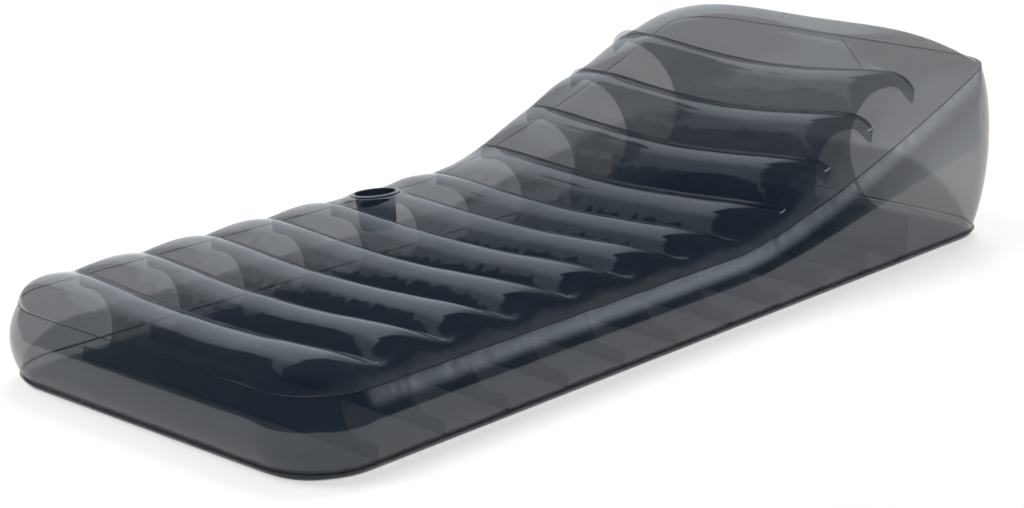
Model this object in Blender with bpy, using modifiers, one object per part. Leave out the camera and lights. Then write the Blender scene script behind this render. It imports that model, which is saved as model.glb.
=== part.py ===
"""An inflatable pool lounge mat: tinted film welded into a channelled deck that rises to a head rest.

The mat lies along Y with its foot at -Y and its head at +Y, and +Z is up. The origin is on the ground
under the middle of the mat. All lengths are in metres.
"""
import math

import bmesh
import bpy
from mathutils import Matrix, Vector

# Plan of the weld seams
SEAM_WIDTH = 0.76
SEAM_LENGTH = 1.868
FOOT_CORNER_RADIUS = 0.112
HEAD_CORNER_RADIUS = 0.108

# Heights of the seams and the deck above the ground
BOTTOM_SEAM_HEIGHT = 0.0152
FOOT_SEAM_HEIGHT = 0.134
HEAD_SEAM_HEIGHT = 0.346
DECK_HEIGHT = 0.1535
DECK_SAG = 0.015
RAMP_SAG = 0.025
SHOULDER_SHARE = 0.84
SAG_POWER = 1.5

# Film, the clearance that welded pieces keep in this model, and the distance at which points are one
FILM = 0.0005
GAP = 0.0003
MERGE = 0.00001

# Channels between the grooves, counted from the foot. Their pitches are shares of the seams' length.
LEVEL_GROOVES = 7
RAMP_GROOVES = 4
FIRST_GROOVE_SHARE = 0.0846
GROOVE_PITCH_SHARE = 0.0777
RAMP_PITCH_SHARE = 0.0795
RAMP_ANGLE = math.radians(23.5)
RAMP_BLEND = 0.03
CHANNEL_CROWN = 0.027
HEAD_CROWN = 0.064
SEAM_RISE_POWER = 1.4
SEAM_RISE_SHARE = 1.126
SEAM_RISE_BLEND_SHARE = 0.06
SEAM_RISE_LEAD_SHARE = 0.13

# Rounded edges of the sheets and the bulge of the side wall
EDGE_WIDTH = 0.046
EDGE_POWER = 4
EDGE_SPREAD_SHARE = 0.7
FOOT_WALL_BULGE = 0.018
HEAD_WALL_BULGE = 0.024
UNDER_EDGE_WIDTH = 0.05
UNDER_GROOVE_LIFT = 0.005

# Where the grooves end, and how finely the sheets are divided
TIP_SHARE = 0.93
RAMP_TIP_SHARE = 0.97
HEAD_ROW_SHARES = (0.0, 0.22, 0.44)
UNDER_FLAT_SHARE = 0.17
CORNER_STEPS = 5
WALL_STEPS = 6

# Inner beams: tabs at both ends, above and below a round cut-out
TAB_HEIGHT = 0.024
TAB_LENGTH = 0.036
TAB_ROUND = 0.006
TAB_CLEARANCE = 0.003
CUT_OUT_STEPS = 12

# Cup pocket in the far side of the deck
CUP_RADIUS = 0.038
CUP_DEPTH = 0.066
CUP_FOOT_RADIUS = 0.034
CUP_FOOT_ROUND = 0.008
CUP_RIM_WIDTH = 0.0085
CUP_RIM_THICKNESS = 0.0009
CUP_SEAT_MARGIN = 0.0005
CUP_TILT = math.radians(7.0)
CUP_GROOVE = 5
CUP_SIDES = 40
CUP_ROUND_STEPS = 4

# Air valve in the back wall
VALVE_CORNER_CLEARANCE = 0.003
VALVE_STRIP = 1
VALVE_FLANGE_RADIUS = 0.019
VALVE_FLANGE_THICKNESS = 0.0012
VALVE_STEM_RADIUS = 0.0085
VALVE_STEM_LIP = 0.0012
VALVE_BORE_RADIUS = 0.0056
VALVE_STEM_LENGTH = 0.019
VALVE_SLEEVE_WALL = 0.0012
VALVE_SLEEVE_DEPTH = 0.015
PLUG_TOP_RADIUS = 0.0053
PLUG_TIP_RADIUS = 0.0043
PLUG_DEPTH = 0.0055
PLUG_HEAD_RADIUS = 0.0078
PLUG_HEAD_THICKNESS = 0.0016
TETHER_WIDTH = 0.004
TETHER_THICKNESS = 0.0009
TETHER_REACH = 0.0125
FLAP_RADIUS = 0.0072
FLAP_THICKNESS = 0.0008
ROUND_SIDES = 32
CUT_OVERRUN = 0.004

# Colours of the materials: base colour, roughness, opacity
FILM_FINISH = ((0.045, 0.053, 0.063), 0.28, 0.62)
BEAM_FINISH = ((0.040, 0.047, 0.057), 0.35, 0.55)
CUP_FINISH = ((0.060, 0.070, 0.082), 0.30, 0.75)
VALVE_FINISH = ((0.075, 0.085, 0.098), 0.35, 0.85)


def remove_everything():
    for item in list(bpy.data.objects):
        bpy.data.objects.remove(item, do_unlink=True)


def new_collection(name):
    collection = bpy.data.collections.new(name)
    bpy.context.scene.collection.children.link(collection)
    return collection


def make_material(name, finish):
    colour, roughness, opacity = finish
    material = bpy.data.materials.new(name)
    material.use_nodes = True
    shader = material.node_tree.nodes["Principled BSDF"]
    shader.inputs["Base Color"].default_value = (*colour, 1.0)
    shader.inputs["Roughness"].default_value = roughness
    shader.inputs["Metallic"].default_value = 0.0
    shader.inputs["Alpha"].default_value = opacity
    return material


def place(mesh, name, collection, material):
    item = bpy.data.objects.new(name, mesh)
    collection.objects.link(item)
    mesh.materials.append(material)
    return item


# The plan: half sizes, and the middle set so that the bulged outline is centred on the origin

HALF_WIDTH = SEAM_WIDTH / 2
HALF_LENGTH = SEAM_LENGTH / 2
MIDDLE_Y = (FOOT_WALL_BULGE - HEAD_WALL_BULGE) / 2
FOOT_Y = MIDDLE_Y - HALF_LENGTH
HEAD_Y = MIDDLE_Y + HALF_LENGTH
FIRST_GROOVE = FIRST_GROOVE_SHARE * SEAM_LENGTH
GROOVE_PITCH = GROOVE_PITCH_SHARE * SEAM_LENGTH
RAMP_PITCH = RAMP_PITCH_SHARE * SEAM_LENGTH


def groove_places():
    """Distances of the grooves along Y: level ones a pitch apart, ramp ones a pitch apart up the slope."""
    places = [FOOT_Y + FIRST_GROOVE + k * GROOVE_PITCH for k in range(LEVEL_GROOVES)]
    step = RAMP_PITCH * math.cos(RAMP_ANGLE)
    last = places[-1]
    places += [last + (k + 1) * step for k in range(RAMP_GROOVES)]
    return places


GROOVES = groove_places()
RAMP_START = GROOVES[LEVEL_GROOVES - 1] + RAMP_PITCH * math.cos(RAMP_ANGLE) / 2
SEAM_RISE_START = GROOVES[LEVEL_GROOVES - 1] - SEAM_RISE_LEAD_SHARE * GROOVE_PITCH


# The deck is divided so that the cup's seat is one flat square whose outer side meets the groove ends.
# Shares of columns are counted to the groove ends.
CUP_SEAT = CUP_RADIUS + CUP_RIM_WIDTH + CUP_SEAT_MARGIN
CUP_COLUMN_SHARE = 1.0 - CUP_SEAT / (TIP_SHARE * HALF_WIDTH)
SEAT_COLUMN_SHARE = 1.0 - 2.0 * CUP_SEAT / (TIP_SHARE * HALF_WIDTH)
SEAT_ROW_SHARE = 0.5 - CUP_SEAT / GROOVE_PITCH
CHANNEL_ROW_SHARES = (0.0, SEAT_ROW_SHARE, 0.5, 1.0 - SEAT_ROW_SHARE)
UNDER_ROW_SHARES = (0.0, UNDER_FLAT_SHARE, 1.0 - UNDER_FLAT_SHARE)


def mirrored_shares(half):
    return tuple(-share for share in reversed(half)) + (0.0,) + tuple(half)


COLUMN_SHARES = mirrored_shares((SEAT_COLUMN_SHARE / 2, SEAT_COLUMN_SHARE, CUP_COLUMN_SHARE, 1.0))
UNDER_COLUMN_SHARES = mirrored_shares((SEAT_COLUMN_SHARE / 2, SEAT_COLUMN_SHARE, 1.0))


def half_width_at(y):
    """Half the width between the seams at y, which narrows round the plan's corners."""
    for end, radius in ((FOOT_Y, FOOT_CORNER_RADIUS), (HEAD_Y, HEAD_CORNER_RADIUS)):
        inset = radius - abs(y - end)
        if inset > 0:
            inset = min(inset, radius)
            return HALF_WIDTH - radius + math.sqrt(max(radius * radius - inset * inset, 0.0))
    return HALF_WIDTH


def progress(y, start, end):
    return min(max((y - start) / (end - start), 0.0), 1.0)


def tip_at(y):
    """How far from the middle the grooves end: further out on the ramp, from the cup's channel on."""
    widening = progress(y, GROOVES[CUP_GROOVE], GROOVES[LEVEL_GROOVES])
    share = TIP_SHARE + (RAMP_TIP_SHARE - TIP_SHARE) * widening
    return share * half_width_at(y)


def columns_at(y, shares):
    """Places across the mat at y: both seams and the columns between the groove ends."""
    half = half_width_at(y)
    return [-half] + [share * tip_at(y) for share in shares] + [half]


def seam_height(y):
    """Height of the top seam: level along the foot half, then rising to the head."""
    rise = SEAM_RISE_SHARE * progress(y, SEAM_RISE_START, HEAD_Y) ** SEAM_RISE_POWER
    overlap = max(SEAM_RISE_BLEND_SHARE - abs(rise - 1.0), 0.0)
    rise = min(rise, 1.0) - overlap * overlap / (4 * SEAM_RISE_BLEND_SHARE)
    return FOOT_SEAM_HEIGHT + (HEAD_SEAM_HEIGHT - FOOT_SEAM_HEIGHT) * rise


def ramp_rise(y):
    """Height that the deck gains on the ramp, with a rounded foot."""
    return math.tan(RAMP_ANGLE) * RAMP_BLEND * math.log1p(math.exp((y - RAMP_START) / RAMP_BLEND))


def deck_height(y):
    """Height of the weld line level: along the grooves, and from the last groove to the back seam."""
    last = GROOVES[-1]
    if y <= last:
        return DECK_HEIGHT + ramp_rise(y)
    top = DECK_HEIGHT + ramp_rise(last)
    return top + (HEAD_SEAM_HEIGHT - top) * progress(y, last, HEAD_Y)


def deck_sag(x, y):
    """How far the deck sinks below its shoulders, which fades out towards the back seam."""
    depth = DECK_SAG + (RAMP_SAG - DECK_SAG) * progress(y, RAMP_START, GROOVES[-2])
    fade = 1.0 - progress(y, GROOVES[-1], HEAD_Y)
    across = x / (SHOULDER_SHARE * half_width_at(y))
    return depth * fade * max(1.0 - across * across, 0.0) ** SAG_POWER


def edge_share(distance, width):
    """How far a sheet has risen from its seam, 0 at the seam and 1 past the rounded edge."""
    left = 1.0 - min(max(distance / width, 0.0), 1.0)
    return math.sqrt(1.0 - left ** EDGE_POWER)


def channel_share(y):
    """The channel that holds y, and how far across it y lies."""
    edges = [FOOT_Y] + GROOVES + [HEAD_Y]
    for index in range(len(edges) - 1):
        if y <= edges[index + 1]:
            break
    share = (y - edges[index]) / (edges[index + 1] - edges[index])
    return index, min(max(share, 0.0), 1.0)


def across_share(x, y):
    """Fade of the channels towards the sides: 1 in the middle, 0 where the grooves end."""
    return max(1.0 - (x / tip_at(y)) ** 4, 0.0)


def top_height(x, y):
    """Height of the top sheet's middle surface."""
    seam = seam_height(y)
    level = deck_height(y) - deck_sag(x, y)
    spread = max(deck_height(y) - seam - (DECK_HEIGHT - FOOT_SEAM_HEIGHT), 0.0)
    side = edge_share(half_width_at(y) - abs(x), EDGE_WIDTH + EDGE_SPREAD_SHARE * spread)
    end = edge_share(min(y - FOOT_Y, HEAD_Y - y), EDGE_WIDTH)
    index, share = channel_share(y)
    crown = HEAD_CROWN if index == len(GROOVES) else CHANNEL_CROWN
    bulge = crown * (1.0 - (2.0 * share - 1.0) ** 2) * across_share(x, y)
    return seam + (level - seam) * side * end + bulge


def under_height(x, y):
    """Height of the bottom sheet's middle surface: flat on the ground, lifted a little at the grooves."""
    side = edge_share(half_width_at(y) - abs(x), UNDER_EDGE_WIDTH)
    end = edge_share(min(y - FOOT_Y, HEAD_Y - y), UNDER_EDGE_WIDTH)
    index, share = channel_share(y)
    near = min(share, 1.0 - share) / UNDER_FLAT_SHARE
    lift = UNDER_GROOVE_LIFT * max(1.0 - near, 0.0) * across_share(x, y)
    if index == 0 and share < 0.5 or index == len(GROOVES) and share > 0.5:
        lift = 0.0
    return (BOTTOM_SEAM_HEIGHT - FILM / 2) * (1.0 - side * end) + lift + FILM / 2


# The cup pocket stands in the middle of its channel and leans outwards with the deck

CUP_X = -CUP_COLUMN_SHARE * TIP_SHARE * HALF_WIDTH
CUP_Y = (GROOVES[CUP_GROOVE - 1] + GROOVES[CUP_GROOVE]) / 2
CUP_PLACE = Vector((CUP_X, CUP_Y, top_height(CUP_X, CUP_Y)))


def flat_at_cup(x, y, height):
    """The top sheet lies flat where the cup's rim is welded to it."""
    along = abs(y - CUP_PLACE.y)
    across = abs(x - CUP_PLACE.x)
    if along > CUP_SEAT + GAP or across > CUP_SEAT + GAP:
        return height
    return CUP_PLACE.z + (x - CUP_PLACE.x) * math.tan(CUP_TILT)


def corner_rows(end, radius, sign):
    """Rows that trace a rounded corner in equal angles, from the end inwards."""
    angles = [math.pi / 2 * (1 - k / CORNER_STEPS) for k in range(CORNER_STEPS + 1)]
    return [end + sign * radius * (1.0 - math.sin(angle)) for angle in angles]


def sheet_rows(channel_shares):
    """Rows of a sheet along Y: both rounded ends and each channel."""
    rows = corner_rows(FOOT_Y, FOOT_CORNER_RADIUS, 1)
    edges = GROOVES
    for low, high in zip(edges[:-1], edges[1:]):
        rows += [low + share * (high - low) for share in channel_shares]
    rows += [edges[-1] + share * (HEAD_Y - edges[-1]) for share in HEAD_ROW_SHARES]
    rows += reversed(corner_rows(HEAD_Y, HEAD_CORNER_RADIUS, -1))
    return rows


def grid_mesh(name, columns, rows, place_vertex):
    """A grid of columns by rows whose corner (i, j) goes to place_vertex(i, j)."""
    sheet = bmesh.new()
    bmesh.ops.create_grid(sheet, x_segments=columns - 1, y_segments=rows - 1, size=1.0)
    for vertex in sheet.verts:
        i = round((vertex.co.x + 1.0) / 2.0 * (columns - 1))
        j = round((vertex.co.y + 1.0) / 2.0 * (rows - 1))
        vertex.co = place_vertex(i, j)
    mesh = bpy.data.meshes.new(name)
    sheet.to_mesh(mesh)
    sheet.free()
    mesh.shade_smooth()
    return mesh


def thicken(item, thickness=FILM):
    solid = item.modifiers.new("film", "SOLIDIFY")
    solid.thickness = thickness
    solid.offset = 0.0
    solid.use_even_offset = False
    return solid


def cut(item, cutter):
    boolean = item.modifiers.new("opening", "BOOLEAN")
    boolean.operation = "DIFFERENCE"
    boolean.solver = "EXACT"
    boolean.object = cutter


def make_cutter(name, radius, reach, collection, matrix, sides):
    """A wire-drawn cylinder along the local Z, as far below its origin as above."""
    body = bmesh.new()
    bmesh.ops.create_cone(body, cap_ends=True, segments=sides, radius1=radius, radius2=radius,
                          depth=2.0 * reach)
    mesh = bpy.data.meshes.new(name)
    body.to_mesh(mesh)
    body.free()
    cutter = bpy.data.objects.new(name, mesh)
    collection.objects.link(cutter)
    cutter.matrix_world = matrix
    cutter.hide_render = True
    cutter.display_type = "WIRE"
    return cutter


def make_top_sheet(parts, film):
    rows = sheet_rows(CHANNEL_ROW_SHARES)
    lift = GAP / 2 + FILM / 2

    def corner(i, j):
        y = rows[j]
        x = columns_at(y, COLUMN_SHARES)[i]
        height = flat_at_cup(x, y, top_height(x, y))
        return Vector((x, y, height + lift))

    mesh = grid_mesh("top_sheet", len(COLUMN_SHARES) + 2, len(rows), corner)
    item = place(mesh, "top_sheet", parts, film)
    thicken(item)
    return item


def make_bottom_sheet(parts, film):
    rows = sheet_rows(UNDER_ROW_SHARES)

    def corner(i, j):
        y = rows[j]
        x = columns_at(y, UNDER_COLUMN_SHARES)[i]
        return Vector((x, y, under_height(x, y)))

    mesh = grid_mesh("bottom_sheet", len(UNDER_COLUMN_SHARES) + 2, len(rows), corner)
    item = place(mesh, "bottom_sheet", parts, film)
    thicken(item)
    return item


def wall_stations():
    """Points round the seams' plan with their outward directions, from the back joint and round to it."""
    rows = sheet_rows(CHANNEL_ROW_SHARES)
    straight_low = FOOT_Y + FOOT_CORNER_RADIUS
    straight_high = HEAD_Y - HEAD_CORNER_RADIUS
    levels = [y for y in GROOVES[:LEVEL_GROOVES - 1:2] if y > straight_low + GAP]
    ramp = [y for y in rows if SEAM_RISE_START < y < straight_high - GAP]
    side = levels + [SEAM_RISE_START] + ramp
    stations = []
    foot_end = HALF_WIDTH - FOOT_CORNER_RADIUS
    head_end = HALF_WIDTH - HEAD_CORNER_RADIUS
    turns = [math.pi / 2 * k / CORNER_STEPS for k in range(CORNER_STEPS + 1)]
    stations.append((GAP / 2, HEAD_Y, 0.0, 1.0))
    for angle in reversed(turns):
        stations.append((head_end + HEAD_CORNER_RADIUS * math.cos(angle),
                         straight_high + HEAD_CORNER_RADIUS * math.sin(angle),
                         math.cos(angle), math.sin(angle)))
    for y in reversed(side):
        stations.append((HALF_WIDTH, y, 1.0, 0.0))
    for angle in turns:
        stations.append((foot_end + FOOT_CORNER_RADIUS * math.cos(angle),
                         straight_low - FOOT_CORNER_RADIUS * math.sin(angle),
                         math.cos(angle), -math.sin(angle)))
    mirrored = [(-x, y, -out_x, out_y) for x, y, out_x, out_y in reversed(stations)]
    return stations + mirrored


def wall_bulge(height):
    """Bulge of the side wall at half its height, for a wall of this height."""
    low = FOOT_SEAM_HEIGHT - BOTTOM_SEAM_HEIGHT
    high = HEAD_SEAM_HEIGHT - BOTTOM_SEAM_HEIGHT
    return FOOT_WALL_BULGE + (HEAD_WALL_BULGE - FOOT_WALL_BULGE) * (height - low) / (high - low)


def wall_point(station, share):
    x, y, out_x, out_y = station
    low = BOTTOM_SEAM_HEIGHT + FILM / 2 + GAP
    high = seam_height(y) - GAP / 2
    bulge = 4.0 * share * (1.0 - share) * wall_bulge(high - low)
    return Vector((x + out_x * bulge, y + out_y * bulge, low + (high - low) * share))


def make_side_wall(parts, film):
    stations = wall_stations()

    def corner(i, j):
        return wall_point(stations[len(stations) - 1 - i], j / WALL_STEPS)

    mesh = grid_mesh("side_wall", len(stations), WALL_STEPS + 1, corner)
    item = place(mesh, "side_wall", parts, film)
    thicken(item)
    return item


def round_arc(centre_radius, centre_height, radius, start, stop, steps):
    angles = [start + (stop - start) * k / steps for k in range(steps + 1)]
    return [(centre_radius + radius * math.cos(angle), centre_height + radius * math.sin(angle))
            for angle in angles]


def drawn_in(points):
    """A row of (x, z) points along a sheet whose last one is drawn back along it by the tabs' clearance."""
    (near_x, near_z), (far_x, far_z) = points[-2:]
    share = TAB_CLEARANCE / (far_x - near_x)
    return points[:-1] + [(far_x - TAB_CLEARANCE, far_z + (near_z - far_z) * share)]


def beam_outline(y):
    """Outline of an inner beam in (x, z): it follows both sheets, with a round cut-out in each end."""
    upper = [share * tip_at(y) for share in COLUMN_SHARES if share >= 0.0]
    lower = [share * tip_at(y) for share in UNDER_COLUMN_SHARES if share >= 0.0]
    top = drawn_in([(x, top_height(x, y) - GAP / 2) for x in upper])
    bottom = drawn_in([(x, under_height(x, y) + FILM / 2 + GAP) for x in lower])
    tip = top[-1][0]
    low = bottom[-1][1] + TAB_HEIGHT
    high = top[-1][1] - TAB_HEIGHT
    radius = (high - low) / 2
    cut_out = round_arc(tip - TAB_LENGTH, (high + low) / 2, radius, math.pi / 2, math.pi * 3 / 2,
                        CUT_OUT_STEPS)
    end = [(tip, high + TAB_ROUND), (tip - TAB_ROUND, high)]
    end += cut_out + [(tip - TAB_ROUND, low), (tip, low - TAB_ROUND)]
    right = top + end + list(reversed(bottom))
    return right + [(-x, z) for x, z in reversed(right[1:-1])]


def make_beam(index, y, parts, beam_film):
    name = f"i_beam_{index:02d}"
    curve = bpy.data.curves.new(name, "CURVE")
    curve.dimensions = "2D"
    curve.fill_mode = "BOTH"
    curve.extrude = FILM / 2
    outline = beam_outline(y)
    spline = curve.splines.new("POLY")
    spline.points.add(len(outline) - 1)
    for point, (x, z) in zip(spline.points, outline):
        point.co = (x, z, 0.0, 1.0)
    spline.use_cyclic_u = True
    flat = bpy.data.objects.new(name, curve)
    parts.objects.link(flat)
    flat.location = (0.0, y, 0.0)
    flat.rotation_euler = (math.pi / 2, 0.0, 0.0)
    curve.materials.append(beam_film)
    return flat


def turned(name, profile, parts, material, sides):
    """A solid turned about Z. Its profile runs down the outer side, and one off the axis is a ring."""
    body = bmesh.new()
    corners = [body.verts.new((radius, 0.0, height)) for radius, height in profile]
    ring = profile[0][0] > 0.0
    for low, high in zip(corners, corners[1:] + corners[:1] if ring else corners[1:]):
        body.edges.new((low, high))
    mesh = bpy.data.meshes.new(name)
    body.to_mesh(mesh)
    body.free()
    item = place(mesh, name, parts, material)
    screw = item.modifiers.new("turn", "SCREW")
    screw.axis = "Z"
    screw.angle = math.tau
    screw.steps = sides
    screw.render_steps = sides
    screw.use_merge_vertices = True
    screw.merge_threshold = MERGE
    return item


def make_cup(parts, holes, film, top_sheet):
    """The cup pocket: a flat rim on the deck, a wall that hangs in its hole, and a dished floor."""
    seat = bpy.data.objects.new("cup_seat", None)
    parts.objects.link(seat)
    seat.location = CUP_PLACE + Vector((0.0, 0.0, GAP / 2 + FILM / 2))
    seat.rotation_euler = (0.0, -CUP_TILT, 0.0)
    bpy.context.view_layer.update()
    rest = FILM / 2 + GAP
    top = rest + CUP_RIM_THICKNESS
    rim_edge = CUP_RADIUS + CUP_RIM_WIDTH
    rim = turned("cup_rim", [(CUP_RADIUS, top), (rim_edge - CUP_RIM_THICKNESS / 2, top),
                             (rim_edge, rest + CUP_RIM_THICKNESS / 2), (rim_edge, rest),
                             (CUP_RADIUS, rest)], parts, film, CUP_SIDES)
    outer = CUP_RADIUS - GAP
    foot = CUP_FOOT_ROUND - CUP_DEPTH
    wall = turned("cup_wall", [(outer - FILM, top), (outer, top), (CUP_FOOT_RADIUS, foot),
                               (CUP_FOOT_RADIUS - FILM, foot)], parts, film, CUP_SIDES)
    centre = CUP_FOOT_RADIUS - CUP_FOOT_ROUND
    edge = foot - GAP
    inside = round_arc(centre, edge, CUP_FOOT_ROUND - FILM, -math.pi / 2, 0.0, CUP_ROUND_STEPS)
    outside = round_arc(centre, edge, CUP_FOOT_ROUND, 0.0, -math.pi / 2, CUP_ROUND_STEPS)
    low = edge - CUP_FOOT_ROUND
    floor = turned("cup_floor", [(0.0, low + FILM)] + inside + outside + [(0.0, low)],
                   parts, film, CUP_SIDES)
    for item in (rim, wall, floor):
        item.parent = seat
    cut(top_sheet, make_cutter("cup_hole", CUP_RADIUS, CUT_OVERRUN, holes, seat.matrix_world, CUP_SIDES))


def back_strip_frame():
    """Place and outward direction of the valve: on a flat strip of the back wall, clear of its corner."""
    station = (0.0, HEAD_Y, 0.0, 1.0)
    low = wall_point(station, VALVE_STRIP / WALL_STEPS)
    high = wall_point(station, (VALVE_STRIP + 1) / WALL_STEPS)
    middle = (low + high) / 2
    rise = (high - low).normalized()
    outward = Vector((0.0, rise.z, -rise.y))
    middle.x = VALVE_FLANGE_RADIUS + VALVE_CORNER_CLEARANCE + HEAD_CORNER_RADIUS - HALF_WIDTH
    across = Vector((-1.0, 0.0, 0.0))
    frame = Matrix((across, rise, outward)).transposed().to_4x4()
    frame.translation = middle
    return frame


def make_valve(parts, holes, material, side_wall):
    """Welded flange with a sleeve, a stem that slides in it, its plug on a tether, and a check flap."""
    frame = back_strip_frame()
    seat = bpy.data.objects.new("valve_seat", None)
    parts.objects.link(seat)
    seat.matrix_world = frame
    bore = VALVE_STEM_RADIUS + GAP
    sleeve = bore + VALVE_SLEEVE_WALL
    face = FILM / 2 + GAP
    top = face + VALVE_FLANGE_THICKNESS
    cut(side_wall, make_cutter("valve_hole", sleeve + GAP, CUT_OVERRUN, holes, frame, ROUND_SIDES))
    flange = turned("valve_flange", [(bore, top), (VALVE_FLANGE_RADIUS - VALVE_FLANGE_THICKNESS / 2, top),
                                     (VALVE_FLANGE_RADIUS, face + VALVE_FLANGE_THICKNESS / 2),
                                     (VALVE_FLANGE_RADIUS, face), (sleeve, face),
                                     (sleeve, -VALVE_SLEEVE_DEPTH), (bore, -VALVE_SLEEVE_DEPTH)],
                    parts, material, ROUND_SIDES)

    lip_low = top + GAP
    lip_high = lip_low + VALVE_STEM_LIP
    lip_radius = VALVE_STEM_RADIUS + VALVE_STEM_LIP
    stem_low = lip_high - VALVE_STEM_LENGTH
    stem = turned("valve_stem", [(VALVE_BORE_RADIUS, lip_high), (lip_radius, lip_high),
                                 (lip_radius, lip_low), (VALVE_STEM_RADIUS, lip_low),
                                 (VALVE_STEM_RADIUS, stem_low), (VALVE_BORE_RADIUS, stem_low)],
                  parts, material, ROUND_SIDES)

    plug_low = lip_high + GAP
    head_top = plug_low + PLUG_HEAD_THICKNESS
    plug_tip = plug_low - PLUG_DEPTH
    plug = turned("valve_plug", [(0.0, head_top), (PLUG_HEAD_RADIUS, head_top),
                                 (PLUG_HEAD_RADIUS, plug_low), (PLUG_TOP_RADIUS, plug_low),
                                 (PLUG_TIP_RADIUS, plug_tip), (0.0, plug_tip)],
                  parts, material, ROUND_SIDES)
    tether = block("valve_tether", (PLUG_HEAD_RADIUS + GAP, TETHER_REACH), TETHER_WIDTH,
                   (plug_low, plug_low + TETHER_THICKNESS), parts, material)
    lug = block("valve_tether_lug", (lip_radius + GAP, TETHER_REACH), TETHER_WIDTH,
                (lip_low, lip_high), parts, material)

    flap_top = stem_low - GAP
    flap_low = flap_top - FLAP_THICKNESS
    flap = turned("valve_check_flap", [(0.0, flap_top), (FLAP_RADIUS, flap_top),
                                       (FLAP_RADIUS, flap_low), (0.0, flap_low)],
                  parts, material, ROUND_SIDES)
    for item in (flange, stem, plug, tether, lug, flap):
        item.parent = seat


def block(name, x_span, width, z_span, parts, material):
    """A small block from one x to another and from one height to another, centred across."""
    body = bmesh.new()
    size = Matrix.Diagonal((x_span[1] - x_span[0], width, z_span[1] - z_span[0], 1.0))
    middle = Matrix.Translation((sum(x_span) / 2, 0.0, sum(z_span) / 2))
    bmesh.ops.create_cube(body, size=1.0, matrix=middle @ size)
    mesh = bpy.data.meshes.new(name)
    body.to_mesh(mesh)
    body.free()
    return place(mesh, name, parts, material)


def main():
    remove_everything()
    parts = new_collection("pool_lounge_mat")
    holes = new_collection("cutters")
    film = make_material("tinted_film", FILM_FINISH)
    beam_film = make_material("beam_film", BEAM_FINISH)
    cup_film = make_material("cup_film", CUP_FINISH)
    valve_plastic = make_material("valve_plastic", VALVE_FINISH)
    top_sheet = make_top_sheet(parts, film)
    make_bottom_sheet(parts, film)
    side_wall = make_side_wall(parts, film)
    for index, y in enumerate(GROOVES, start=1):
        make_beam(index, y, parts, beam_film)
    make_cup(parts, holes, cup_film, top_sheet)
    make_valve(parts, holes, valve_plastic, side_wall)


main()
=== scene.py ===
"""The pool lounge mat for the picture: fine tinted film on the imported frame, in studio light."""
import math

import bmesh
import bpy
import numpy as np
from mathutils import Matrix, Vector


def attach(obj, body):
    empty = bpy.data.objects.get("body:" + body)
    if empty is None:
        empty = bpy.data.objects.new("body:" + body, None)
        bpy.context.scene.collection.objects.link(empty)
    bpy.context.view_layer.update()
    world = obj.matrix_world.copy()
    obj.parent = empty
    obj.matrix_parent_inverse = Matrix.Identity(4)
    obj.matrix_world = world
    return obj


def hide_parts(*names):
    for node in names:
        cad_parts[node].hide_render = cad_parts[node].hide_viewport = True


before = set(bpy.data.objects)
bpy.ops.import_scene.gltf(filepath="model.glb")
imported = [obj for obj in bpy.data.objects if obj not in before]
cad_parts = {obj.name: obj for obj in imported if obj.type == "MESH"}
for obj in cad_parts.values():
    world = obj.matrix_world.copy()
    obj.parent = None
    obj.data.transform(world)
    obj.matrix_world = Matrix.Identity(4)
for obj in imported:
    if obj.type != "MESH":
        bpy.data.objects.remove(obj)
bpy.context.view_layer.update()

# Driving dimensions of the part, in metres, as in its source
SEAM_WIDTH = 0.76
SEAM_LENGTH = 1.868
FOOT_CORNER_RADIUS = 0.112
HEAD_CORNER_RADIUS = 0.108
BOTTOM_SEAM_HEIGHT = 0.0152
FOOT_SEAM_HEIGHT = 0.134
HEAD_SEAM_HEIGHT = 0.346
DECK_HEIGHT = 0.1535
DECK_SAG = 0.015
RAMP_SAG = 0.025
SHOULDER_SHARE = 0.84
SAG_POWER = 1.5
FILM = 0.0005
GAP = 0.0003
MERGE = 0.00001
LEVEL_GROOVES = 7
RAMP_GROOVES = 4
FIRST_GROOVE = 0.0846 * SEAM_LENGTH
GROOVE_PITCH = 0.0777 * SEAM_LENGTH
RAMP_PITCH = 0.0795 * SEAM_LENGTH
RAMP_ANGLE = math.radians(23.5)
RAMP_BLEND = 0.03
CHANNEL_CROWN = 0.027
HEAD_CROWN = 0.064
SEAM_RISE_POWER = 1.4
SEAM_RISE_SHARE = 1.126
SEAM_RISE_BLEND_SHARE = 0.06
SEAM_RISE_LEAD_SHARE = 0.13
EDGE_WIDTH = 0.046
EDGE_POWER = 4
EDGE_SPREAD_SHARE = 0.7
FOOT_WALL_BULGE = 0.018
HEAD_WALL_BULGE = 0.024
UNDER_EDGE_WIDTH = 0.05
UNDER_GROOVE_LIFT = 0.005
UNDER_FLAT_SHARE = 0.17
TIP_SHARE = 0.93
RAMP_TIP_SHARE = 0.97
TAB_HEIGHT = 0.024
TAB_LENGTH = 0.036
TAB_ROUND = 0.006
TAB_CLEARANCE = 0.003
CUP_RADIUS = 0.038
CUP_DEPTH = 0.066
CUP_FOOT_RADIUS = 0.034
CUP_FOOT_ROUND = 0.008
CUP_RIM_WIDTH = 0.0085
CUP_RIM_THICKNESS = 0.0009
CUP_TILT = math.radians(7.0)
CUP_GROOVE = 5
CUP_TIP_CLEARANCE = 0.0002

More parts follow.
